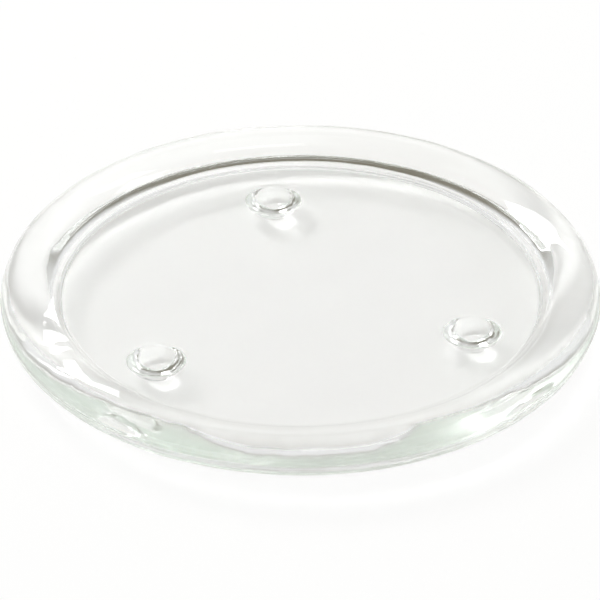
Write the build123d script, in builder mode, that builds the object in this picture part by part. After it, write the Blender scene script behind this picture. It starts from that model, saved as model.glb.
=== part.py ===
from build123d import *
import math
import os

os.makedirs("parts", exist_ok=True)

# Driving dimensions, in millimetres and degrees
plate_diameter = 100.0
rim_width = 10.6
rim_rise = 3.1
floor_thickness = 3.75
seat_fillet = 3.0
recess_depth = 0.45
recess_run = 2.0
recess_reach = 2.4
foot_diameter = 9.2
foot_height = 3.4
foot_flat_diameter = 2.2
foot_inset = 9.1
first_foot_angle = 90.0
foot_names = ["foot_back", "foot_left", "foot_right"]

# Heights above the table, and the floor's edge where the rim begins
underside = foot_height
rim_bottom = underside - recess_depth
seat_height = underside + floor_thickness
seat_radius = plate_diameter / 2 - rim_width

# The rim's section is one smooth run of three tangent arcs. Its outer edge is a half round as tall as the
# rim. The hollow at the floor and the crest above it turn by one angle, set by the slope's rise and run.
edge_round = (floor_thickness + recess_depth + rim_rise) / 2
slope_run = rim_width - edge_round
slope_angle = 2 * math.degrees(math.atan2(rim_rise, slope_run))
crest_round = slope_run / math.sin(math.radians(slope_angle)) - seat_fillet

# Beneath, the floor is slightly recessed. Two equal arcs in the rim make the soft step up to it.
recess_angle = 2 * math.degrees(math.atan2(recess_depth, recess_run))
recess_round = recess_run / 2 / math.sin(math.radians(recess_angle))

# Floor: the flat, clear disc that the candle stands on
with BuildPart() as floor_disc:
    with BuildSketch(Plane.XY.offset(underside)):
        Circle(seat_radius)
    extrude(amount=floor_thickness)

# Rim: a thick rounded bead all round the floor, with a soft inner slope and a half-round outer edge
with BuildPart() as rim:
    with BuildSketch(Plane.XZ):
        with BuildLine():
            joint_line = Line((seat_radius, underside), (seat_radius, seat_height))
            hollow = JernArc(joint_line @ 1, (1, 0), seat_fillet, slope_angle)
            crest = JernArc(hollow @ 1, hollow % 1, crest_round, -slope_angle)
            edge = JernArc(crest @ 1, crest % 1, edge_round, -180)
            base = Line(edge @ 1, (seat_radius + recess_reach, rim_bottom))
            step_low = JernArc(base @ 1, (-1, 0), recess_round, -recess_angle)
            step_high = JernArc(step_low @ 1, step_low % 1, recess_round, recess_angle)
            Line(step_high @ 1, joint_line @ 0)
        make_face()
    revolve(axis=Axis.Z)

# Feet: three round domes under the floor, each with a small flat that stands on the table
foot_radius = foot_diameter / 2
flat_radius = foot_flat_diameter / 2
ball_height = (foot_radius**2 + foot_height**2 - flat_radius**2) / (2 * foot_height)
ball_radius = math.hypot(flat_radius, ball_height)
foot_places = PolarLocations(seat_radius - foot_inset, len(foot_names), first_foot_angle)
feet = {}
for name, place in zip(foot_names, foot_places):
    centre = place.position
    with BuildPart() as foot:
        with BuildSketch(Plane(centre, x_dir=(1, 0, 0), z_dir=(0, -1, 0))):
            with BuildLine():
                flat = Line((0, 0), (flat_radius, 0))
                dome = RadiusArc(flat @ 1, (foot_radius, foot_height), -ball_radius)
                top = Line(dome @ 1, (0, foot_height))
                Line(top @ 1, flat @ 0)
            make_face()
        revolve(axis=Axis(centre, (0, 0, 1)))
    feet[name] = foot.part

# One file for each piece
floor_disc.part.label = "floor_disc"
export_step(floor_disc.part, "parts/floor_disc.step")
rim.part.label = "rim"
export_step(rim.part, "parts/rim.step")
for name, piece in feet.items():
    piece.label = name
    export_step(piece, f"parts/{name}.step")

print(f"overall height {seat_height + rim_rise:.2f} mm, floor {2 * seat_radius:.2f} mm across")
print(f"inner slope {slope_angle:.1f} degrees, crest round {crest_round:.2f} mm, edge round {edge_round:.2f} mm")
print(f"recess step {recess_angle:.1f} degrees, round {recess_round:.2f} mm")
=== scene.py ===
import math
import bpy
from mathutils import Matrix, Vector


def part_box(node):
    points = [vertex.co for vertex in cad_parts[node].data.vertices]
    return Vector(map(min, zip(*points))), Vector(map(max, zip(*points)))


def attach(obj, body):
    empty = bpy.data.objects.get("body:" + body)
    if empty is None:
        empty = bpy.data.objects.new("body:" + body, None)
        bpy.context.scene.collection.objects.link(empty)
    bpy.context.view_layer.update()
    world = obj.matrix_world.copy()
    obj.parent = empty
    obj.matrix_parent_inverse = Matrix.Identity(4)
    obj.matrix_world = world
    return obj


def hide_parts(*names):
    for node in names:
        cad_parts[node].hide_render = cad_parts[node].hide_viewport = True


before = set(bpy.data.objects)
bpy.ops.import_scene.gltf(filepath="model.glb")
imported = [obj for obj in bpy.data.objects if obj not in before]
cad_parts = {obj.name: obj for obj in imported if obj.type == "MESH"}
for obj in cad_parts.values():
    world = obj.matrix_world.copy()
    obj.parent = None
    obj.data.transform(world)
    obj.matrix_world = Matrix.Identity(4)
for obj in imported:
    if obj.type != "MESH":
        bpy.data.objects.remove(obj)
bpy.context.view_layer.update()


# Plate: the flat floor and the rounded rim, one body of clear soda-lime glass pressed from a single gob.
# Half of its section is drawn from the solids' sizes: along the floor, up a hollow, over the crest, round
# the edge with its fine mould seam, and beneath up a soft step to the slightly recessed underside.
floor_low, floor_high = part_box("floor_disc")
rim_low, rim_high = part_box("rim")
plate_radius = rim_high[0]
seat_radius = floor_high[0]
underside = floor_low[2]
seat_height = floor_high[2]
crest_height = rim_high[2]
rim_bottom = rim_low[2]
seat_fillet = 0.0030
edge_round = (crest_height - rim_bottom) / 2
slope_run = plate_radius - seat_radius - edge_round
slope_angle = 2 * math.atan2(crest_height - seat_height, slope_run)
crest_round = slope_run / math.sin(slope_angle) - seat_fillet
recess_run = 0.0020
recess_reach = 0.0024
recess_edge = seat_radius + recess_reach
recess_turn = 2 * math.atan2(underside - rim_bottom, recess_run)
recess_round = recess_run / 2 / math.sin(recess_turn)
seam_level = (crest_height + rim_bottom) / 2
seam_height = 0.00015
seam_half = 0.00025
floor_rings = 28
hollow_steps = 16
crest_steps = 24
edge_steps = 112
bottom_rings = 6
recess_steps = 16
underside_rings = 28


def follow_round(points, radius, heading, turn, steps):
    """Carries a section on along an arc from a heading. It turns left, or right where turn is below 0."""
    x, z = points[-1]
    side = math.copysign(radius, turn)
    for step in range(1, steps + 1):
        now = heading + turn * step / steps
        across = math.sin(now) - math.sin(heading)
        up = math.cos(heading) - math.cos(now)
        points.append((x + side * across, z + side * up))


def section_object(name, points):
    """Makes a section a chain of edges in the plane through the axis, for the tree that turns it."""
    chain = bpy.data.meshes.new(name)
    edges = [(number, number + 1) for number in range(len(points) - 1)]
    chain.from_pydata([(x, 0.0, z) for x, z in points], edges, [])
    drawn = bpy.data.objects.new(name, chain)
    bpy.context.scene.collection.objects.link(drawn)
    return drawn


plate_points = [(seat_radius * ring / floor_rings, seat_height) for ring in range(floor_rings + 1)]
follow_round(plate_points, seat_fillet, 0.0, slope_angle, hollow_steps)
follow_round(plate_points, crest_round, slope_angle, -slope_angle, crest_steps)
edge_start = len(plate_points)
follow_round(plate_points, edge_round, 0.0, -math.pi, edge_steps)
for number in range(edge_start, len(plate_points)):
    x, z = plate_points[number]
    plate_points[number] = (x + seam_height * math.exp(-(((z - seam_level) / seam_half) ** 2)), z)
rim_edge = plate_points[-1][0]
for ring in range(1, bottom_rings + 1):
    plate_points.append((rim_edge + (recess_edge - rim_edge) * ring / bottom_rings, rim_bottom))
follow_round(plate_points, recess_round, math.pi, -recess_turn, recess_steps)
follow_round(plate_points, recess_round, math.pi - recess_turn, recess_turn, recess_steps)
recess_radius = plate_points[-1][0]
for ring in range(1, underside_rings):
    plate_points.append((recess_radius * (1 - ring / underside_rings), underside))
plate_points.append((0.0, underside))
glass_plate = section_object("glass_plate", plate_points)


# Feet: three round domes of the same glass, left by three cups in the mould. Each has a small flat that
# stands on the table and runs into the floor with a soft fillet. Their section reaches a little into the
# plate, so that the two become one body.
foot_low, foot_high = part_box("foot_back")
foot_radius = (foot_high[0] - foot_low[0]) / 2
foot_circle = (foot_high[1] + foot_low[1]) / 2
foot_height = foot_high[2]
flat_radius = 0.0011
foot_fillet = 0.0007
foot_root = 0.0003
ball_height = (foot_radius**2 + foot_height**2 - flat_radius**2) / (2 * foot_height)
ball_radius = math.hypot(flat_radius, ball_height)
fillet_low = foot_height - foot_fillet
fillet_turn = math.acos((ball_height - fillet_low) / (ball_radius + foot_fillet))
fillet_out = (ball_radius + foot_fillet) * math.sin(fillet_turn)
lead_in = math.radians(12)
root_out = fillet_out + (foot_root + foot_fillet * (1 - math.cos(lead_in))) / math.tan(lead_in)
dome_start = fillet_turn - math.pi / 2
dome_end = math.atan2(-ball_height, flat_radius)
fillet_steps = 12
dome_steps = 36

foot_points = [(0.0, foot_height + foot_root), (root_out, foot_height + foot_root)]
for step in range(fillet_steps):
    angle = lead_in + (fillet_turn - lead_in) * step / fillet_steps
    fillet_spot = (fillet_out - foot_fillet * math.sin(angle), fillet_low + foot_fillet * math.cos(angle))
    foot_points.append(fillet_spot)
for step in range(dome_steps + 1):
    angle = dome_start + (dome_end - dome_start) * step / dome_steps
    foot_points.append((ball_radius * math.cos(angle), ball_height + ball_radius * math.sin(angle)))
foot_points.append((0.0, 0.0))
foot_section = section_object("foot_section", foot_points)


# Pressing: the two sections are turned about their axes, the feet set on their circle and joined to the
# plate. The mould and the fire polish leave the glass slightly wavy, most on the rim and least on the floor,
# with a finer ripple over it. The cups leave small marks on the feet, and the flats stay true.
rim_blend = 0.004
floor_share = 0.4
true_below, free_above = 0.0003, 0.0012
marks_start, marks_full = 0.0003, 0.0009
sharp_fold = math.radians(30)
weld = 1e-6


def put(tree, kind, feeds=None, **settings):
    """Adds a node. Settings are its properties, feeds its inputs: values or other nodes' outputs."""
    node = tree.nodes.new(kind)
    for name, value in settings.items():
        setattr(node, name, value)
    for name, value in (feeds or {}).items():
        if isinstance(value, bpy.types.NodeSocket):
            tree.links.new(value, node.inputs[name])
        else:
            node.inputs[name].default_value = value
    return node


def sums(tree, operation, first, second=0.0):
    """One sum in a tree."""
    return put(tree, "ShaderNodeMath", {0: first, 1: second}, operation=operation).outputs[0]


turning = bpy.data.node_groups.new("turn_section", "GeometryNodeTree")
turning.interface.new_socket("Section", in_out="INPUT", socket_type="NodeSocketGeometry")
turning.interface.new_socket("Segments", in_out="INPUT", socket_type="NodeSocketInt")
turning.interface.new_socket("Solid", in_out="OUTPUT", socket_type="NodeSocketGeometry")
given = put(turning, "NodeGroupInput").outputs
counted = put(turning, "GeometryNodeAttributeDomainSize", {"Geometry": given["Section"]})
points_drawn = counted.outputs["Point Count"]
columns = sums(turning, "ADD", given["Segments"], 1.0)
grid = put(turning, "GeometryNodeMeshGrid", {"Vertices X": columns, "Vertices Y": points_drawn})
number = put(turning, "GeometryNodeInputIndex").outputs[0]
ring = sums(turning, "MODULO", number, points_drawn)
column = sums(turning, "FLOOR", sums(turning, "DIVIDE", number, points_drawn))
angle = sums(turning, "MULTIPLY", sums(turning, "DIVIDE", column, given["Segments"]), math.tau)
place = put(turning, "GeometryNodeInputPosition").outputs[0]
drawn_place = put(
    turning,
    "GeometryNodeSampleIndex",
    {"Geometry": given["Section"], "Index": ring},
    data_type="FLOAT_VECTOR",
)
turning.links.new(place, drawn_place.inputs["Value"])
turned_place = put(
    turning,
    "ShaderNodeVectorRotate",
    {"Vector": drawn_place.outputs[0], "Angle": angle},
    rotation_type="Z_AXIS",
)
spun = put(
    turning,
    "GeometryNodeSetPosition",
    {"Geometry": grid.outputs["Mesh"], "Position": turned_place.outputs[0]},
)
closed = put(turning, "GeometryNodeMergeByDistance", {"Geometry": spun.outputs[0], "Distance": weld})
put(turning, "NodeGroupOutput", {"Solid": closed.outputs[0]})

pressing = bpy.data.node_groups.new("press_plate", "GeometryNodeTree")
for name, kind in (
    ("Plate Section", "NodeSocketGeometry"),
    ("Foot Section", "NodeSocketObject"),
    ("Plate Segments", "NodeSocketInt"),
    ("Foot Segments", "NodeSocketInt"),
    ("Feet", "NodeSocketInt"),
    ("Foot Circle", "NodeSocketFloat"),
    ("Wave Height", "NodeSocketFloat"),
    ("Wave Length", "NodeSocketFloat"),
    ("Ripple Height", "NodeSocketFloat"),
    ("Ripple Length", "NodeSocketFloat"),
    ("Cup Height", "NodeSocketFloat"),
    ("Cup Length", "NodeSocketFloat"),
    ("Glass", "NodeSocketMaterial"),
):
    pressing.interface.new_socket(name, in_out="INPUT", socket_type=kind)
pressing.interface.new_socket("Plate", in_out="OUTPUT", socket_type="NodeSocketGeometry")
given = put(pressing, "NodeGroupInput").outputs


def turned(section, segments):
    """A section turned about the axis, in the pressing tree."""
    feeds = {"Section": section, "Segments": segments}
    return put(pressing, "GeometryNodeGroup", feeds, node_tree=turning).outputs[0]


def unevenness(height, length):
    """How far the glass stands off its true shape at each point, in metres."""
    scale = sums(pressing, "DIVIDE", 1.0, length)
    noise = put(pressing, "ShaderNodeTexNoise", {"Vector": place, "Scale": scale, "Detail": 1.0})
    return sums(pressing, "MULTIPLY", sums(pressing, "SUBTRACT", noise.outputs[0], 0.5), height)


place = put(pressing, "GeometryNodeInputPosition").outputs[0]
outward = put(pressing, "GeometryNodeInputNormal").outputs[0]
blank = turned(given["Plate Section"], given["Plate Segments"])
foot_drawn = put(pressing, "GeometryNodeObjectInfo", {"Object": given["Foot Section"]}).outputs["Geometry"]
foot = turned(foot_drawn, given["Foot Segments"])
cups = put(
    pressing, "GeometryNodeMeshCircle", {"Vertices": given["Feet"], "Radius": given["Foot Circle"]}
).outputs["Mesh"]
first_to_back = (0.0, 0.0, math.pi / 2)
cups = put(pressing, "GeometryNodeTransform", {"Geometry": cups, "Rotation": first_to_back}).outputs[0]
feet = put(pressing, "GeometryNodeInstanceOnPoints", {"Points": cups, "Instance": foot}).outputs[0]
feet = put(pressing, "GeometryNodeRealizeInstances", {"Geometry": feet}).outputs[0]
joined = put(pressing, "GeometryNodeMeshBoolean", operation="UNION", solver="EXACT")
pressing.links.new(blank, joined.inputs["Mesh 2"])
pressing.links.new(feet, joined.inputs["Mesh 2"])
height = put(pressing, "ShaderNodeSeparateXYZ", {0: place}).outputs["Z"]
level = (1.0, 1.0, 0.0)
flat_place = put(pressing, "ShaderNodeVectorMath", {0: place, 1: level}, operation="MULTIPLY").outputs[0]
from_axis = put(pressing, "ShaderNodeVectorMath", {0: flat_place}, operation="LENGTH").outputs["Value"]
on_rim = put(
    pressing,
    "ShaderNodeMapRange",
    {
        "Value": from_axis,
        "From Min": seat_radius - rim_blend,
        "From Max": seat_radius + rim_blend,
        "To Min": floor_share,
    },
).outputs[0]
off_table = put(
    pressing, "ShaderNodeMapRange", {"Value": height, "From Min": true_below, "From Max": free_above}
).outputs[0]
stand_off = sums(
    pressing,
    "ADD",
    sums(pressing, "MULTIPLY", unevenness(given["Wave Height"], given["Wave Length"]), on_rim),
    unevenness(given["Ripple Height"], given["Ripple Length"]),
)
on_feet = put(
    pressing,
    "ShaderNodeMapRange",
    {"Value": height, "From Min": underside - marks_start, "From Max": underside - marks_full},
).outputs[0]
cup_marks = sums(pressing, "MULTIPLY", unevenness(given["Cup Height"], given["Cup Length"]), on_feet)
stand_off = sums(pressing, "MULTIPLY", sums(pressing, "ADD", stand_off, cup_marks), off_table)
shift = put(pressing, "ShaderNodeVectorMath", {0: outward, "Scale": stand_off}, operation="SCALE").outputs[0]
waved = put(
    pressing, "GeometryNodeSetPosition", {"Geometry": joined.outputs["Mesh"], "Offset": shift}
).outputs[0]
fold = put(pressing, "GeometryNodeInputMeshEdgeAngle").outputs["Unsigned Angle"]
sharp = put(pressing, "FunctionNodeCompare", {0: fold, 1: sharp_fold}, operation="GREATER_THAN").outputs[0]
polished = put(pressing, "GeometryNodeSetShadeSmooth", {"Geometry": waved}, domain="FACE").outputs[0]
polished = put(
    pressing,
    "GeometryNodeSetShadeSmooth",
    {"Geometry": polished, "Selection": sharp, "Shade Smooth": False},
    domain="EDGE",
).outputs[0]
whole = put(pressing, "GeometryNodeRealizeInstances", {"Geometry": polished}).outputs[0]
finished = put(pressing, "GeometryNodeSetMaterial", {"Geometry": whole, "Material": given["Glass"]})
put(pressing, "NodeGroupOutput", {"Plate": finished.outputs[0]})


# Glass: clear and fire-polished. Its faint green comes from iron and shows only where light runs a long way
# through the body, as along the front edge. The mould leaves a very fine orange peel on the skin, and the
# underside of the floor, which the fire polish does not reach, slightly hazy.
haze_reach, haze_fade = 0.0002, 0.0001
clear_glass = bpy.data.materials.new("clear_pressed_glass")
clear_glass.use_nodes = True
tree = clear_glass.node_tree
skin = tree.nodes["Principled BSDF"]
skin.inputs["Base Color"].default_value = (1.0, 1.0, 1.0, 1.0)
skin.inputs["IOR"].default_value = 1.52
skin.inputs["Transmission Weight"].default_value = 1.0
spot = put(tree, "ShaderNodeTexCoord").outputs["Object"]
peel = put(tree, "ShaderNodeTexNoise", {"Vector": spot, "Scale": 700.0, "Detail": 2.0}).outputs[0]
dimples = put(tree, "ShaderNodeBump", {"Height": peel, "Strength": 1.0, "Distance": 2e-6})
tree.links.new(dimples.outputs[0], skin.inputs["Normal"])
height = put(tree, "ShaderNodeSeparateXYZ", {0: spot}).outputs["Z"]
mould_side = put(
    tree,
    "ShaderNodeMapRange",
    {"Value": height, "From Min": underside + haze_reach, "From Max": underside + haze_fade},
).outputs[0]
above_feet = put(
    tree,
    "ShaderNodeMapRange",
    {"Value": height, "From Min": underside - haze_reach, "From Max": underside - haze_fade},
).outputs[0]
haze = put(tree, "ShaderNodeTexNoise", {"Vector": spot, "Scale": 60.0, "Detail": 3.0}).outputs[0]
haze = put(
    tree,
    "ShaderNodeMapRange",
    {"Value": haze, "From Min": 0.35, "From Max": 0.75, "To Min": 0.10, "To Max": 0.14},
).outputs[0]
haze = sums(tree, "MULTIPLY", haze, sums(tree, "MULTIPLY", mould_side, above_feet))
tree.links.new(haze, skin.inputs["Roughness"])
body = put(tree, "ShaderNodeVolumeAbsorption", {"Color": (0.74, 0.93, 0.76, 1.0), "Density": 3.0})
tree.links.new(body.outputs[0], tree.nodes["Material Output"].inputs["Volume"])

press = glass_plate.modifiers.new("pressing", "NODES")
press.node_group = pressing
settings = {
    "Foot Section": foot_section,
    "Plate Segments": 288,
    "Foot Segments": 80,
    "Feet": 3,
    "Foot Circle": foot_circle,
    "Wave Height": 0.00028,
    "Wave Length": 0.012,
    "Ripple Height": 0.00004,
    "Ripple Length": 0.005,
    "Cup Height": 0.00022,
    "Cup Length": 0.0020,
    "Glass": clear_glass,
}
for socket in pressing.interface.items_tree:
    if socket.name in settings:
        press[socket.identifier] = settings[socket.name]
evaluated = glass_plate.evaluated_get(bpy.context.evaluated_depsgraph_get())
pressed_mesh = bpy.data.meshes.new_from_object(evaluated)
glass_plate.modifiers.remove(press)
glass_plate.data = pressed_mesh
bpy.data.objects.remove(foot_section)
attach(glass_plate, "root")
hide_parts("floor_disc", "rim", "foot_back", "foot_left", "foot_right")


# Table: a plain white sheet just under the feet. It takes the plate's shadow and the light that the glass
# gathers, and shows near white to the camera and through the glass.
sheet_half = 1.5
sheet_drop = 0.00005
seen_share = 0.92
through_share = 0.25
table_mesh = bpy.data.meshes.new("table")
corners = [(-1, -1), (1, -1), (1, 1), (-1, 1)]
table_points = [(x * sheet_half, y * sheet_half, -sheet_drop) for x, y in corners]
table_mesh.from_pydata(table_points, [], [(0, 1, 2, 3)])
table = bpy.data.objects.new("table", table_mesh)
bpy.context.scene.collection.objects.link(table)
white_sheet = bpy.data.materials.new("white_sheet")
white_sheet.use_nodes = True
tree = white_sheet.node_tree
paper = tree.nodes["Principled BSDF"]
paper.inputs["Base Color"].default_value = (0.94, 0.94, 0.935, 1.0)
paper.inputs["Roughness"].default_value = 0.9
paper.inputs["Specular IOR Level"].default_value = 0.0
white = put(tree, "ShaderNodeEmission", {"Color": (1.0, 1.0, 0.995, 1.0), "Strength": 1.0})
ray = put(tree, "ShaderNodeLightPath").outputs
seen = sums(tree, "MULTIPLY", ray["Is Camera Ray"], seen_share)
by_glass = sums(tree, "MAXIMUM", ray["Is Transmission Ray"], ray["Is Glossy Ray"])
through = sums(tree, "MULTIPLY", by_glass, through_share)
share = sums(tree, "MAXIMUM", seen, through)
both = put(tree, "ShaderNodeMixShader", {"Fac": share, 1: paper.outputs[0], 2: white.outputs[0]})
tree.links.new(both.outputs[0], tree.nodes["Material Output"].inputs["Surface"])
table_mesh.materials.append(white_sheet)


# Studio: a pale wall behind the plate, brightest at half height, a dim warm room on the camera's side and a
# grey one overhead and on the right. A soft lamp from behind on the left lights the plate, with a weak one
# from the front and one from the right. The camera sees the room as white.
dim_room = (0.20, 0.185, 0.145, 1.0)
grey_room = (0.46, 0.46, 0.44, 1.0)
pale_wall = (0.84, 0.84, 0.84, 1.0)
plain_white = (1.0, 1.0, 1.0, 1.0)
room = bpy.data.worlds.new("studio")
bpy.context.scene.world = room
room.use_nodes = True
tree = room.node_tree
sky = tree.nodes["Background"]
towards = put(tree, "ShaderNodeTexCoord").outputs["Generated"]
parts = put(tree, "ShaderNodeSeparateXYZ", {0: towards}).outputs


def soft_step(value, start, end, low, high):
    """A soft change from low to high while value goes from start to end."""
    feeds = {"Value": value, "From Min": start, "From Max": end, "To Min": low, "To Max": high}
    return put(tree, "ShaderNodeMapRange", feeds, interpolation_type="SMOOTHSTEP").outputs[0]


open_side = sums(
    tree,
    "MAXIMUM",
    soft_step(parts["X"], -0.42, -0.20, 0.0, 1.0),
    soft_step(parts["Y"], -0.30, -0.05, 0.0, 1.0),
)
below = soft_step(parts["Z"], 0.62, 0.80, 1.0, 0.0)
above = soft_step(parts["Z"], 0.17, 0.45, 0.45, 1.0)
wall = sums(tree, "MULTIPLY", open_side, sums(tree, "MULTIPLY", above, below))
overhead = sums(
    tree,
    "MULTIPLY",
    soft_step(parts["X"], -0.10, 0.08, 0.0, 1.0),
    soft_step(parts["Z"], 0.86, 0.93, 0.0, 1.0),
)
right_hand = soft_step(parts["X"], 0.28, 0.42, 0.0, 1.0)
dim = put(tree, "ShaderNodeMix", {"Factor": sums(tree, "MAXIMUM", overhead, right_hand)}, data_type="RGBA")
dim.inputs[6].default_value = dim_room
dim.inputs[7].default_value = grey_room
shade = put(tree, "ShaderNodeMix", {"Factor": wall}, data_type="RGBA")
tree.links.new(dim.outputs[2], shade.inputs[6])
shade.inputs[7].default_value = pale_wall
ray = put(tree, "ShaderNodeLightPath").outputs
behind_all = put(tree, "ShaderNodeMix", {"Factor": ray["Is Camera Ray"]}, data_type="RGBA")
tree.links.new(shade.outputs[2], behind_all.inputs[6])
behind_all.inputs[7].default_value = plain_white
tree.links.new(behind_all.outputs[2], sky.inputs["Color"])


def soft_lamp(name, place, width, height, power, mirrored=True):
    """A soft box that faces the plate. One behind a polarising sheet is not mirrored in the glass."""
    lamp = bpy.data.lights.new(name, "AREA")
    lamp.shape = "RECTANGLE"
    lamp.size = width
    lamp.size_y = height
    lamp.energy = power
    stand = bpy.data.objects.new(name, lamp)
    stand.location = place
    stand.visible_glossy = mirrored
    to_plate = Vector((0.0, 0.0, seat_height)) - Vector(place)
    stand.rotation_euler = to_plate.to_track_quat("-Z", "Y").to_euler()
    bpy.context.scene.collection.objects.link(stand)


back_left = (-0.36, 0.55, 0.62)
soft_lamp("back_lamp", back_left, 0.36, 0.32, 4.5, mirrored=False)
soft_lamp("back_glow", back_left, 0.36, 0.32, 1.1)
soft_lamp("front_lamp", (0.13, -0.66, 0.68), 0.50, 0.16, 0.4)
soft_lamp("right_lamp", (0.64, -0.08, 0.63), 0.30, 0.22, 0.5)


# Camera: a long lens from the front, slightly to the left and about a third of the way up, as the picture
# shows the plate. The picture's middle lies a little off the plate's, which the shift takes up.
picture = 600
elevation = math.radians(33.4)
azimuth = math.radians(-9.0)
distance = 0.600
pixels_per_metre = 5980.0
middle_x, middle_y = 300.6, 286.2
lens = bpy.data.cameras.new("camera")
lens.sensor_width = 36.0
lens.lens = pixels_per_metre * distance / picture * lens.sensor_width
lens.shift_x = (picture / 2 - middle_x) / picture
lens.shift_y = (middle_y - picture / 2) / picture
lens.clip_start = 0.01
camera = bpy.data.objects.new("camera", lens)
back = Vector(
    (math.sin(azimuth) * math.cos(elevation), -math.cos(azimuth) * math.cos(elevation), math.sin(elevation))
)
camera.location = Vector((0.0, 0.0, seat_height)) + back * distance
camera.rotation_euler = (-back).to_track_quat("-Z", "Y").to_euler()
bpy.context.scene.collection.objects.link(camera)
scene = bpy.context.scene
scene.camera = camera
scene.view_settings.view_transform = "Standard"
light_bounces = 128
scene.cycles.max_bounces = light_bounces
scene.cycles.transmission_bounces = light_bounces
scene.cycles.glossy_bounces = light_bounces
scene.cycles.blur_glossy = 0.0
scene.cycles.caustics_reflective = True
scene.cycles.caustics_refractive = True
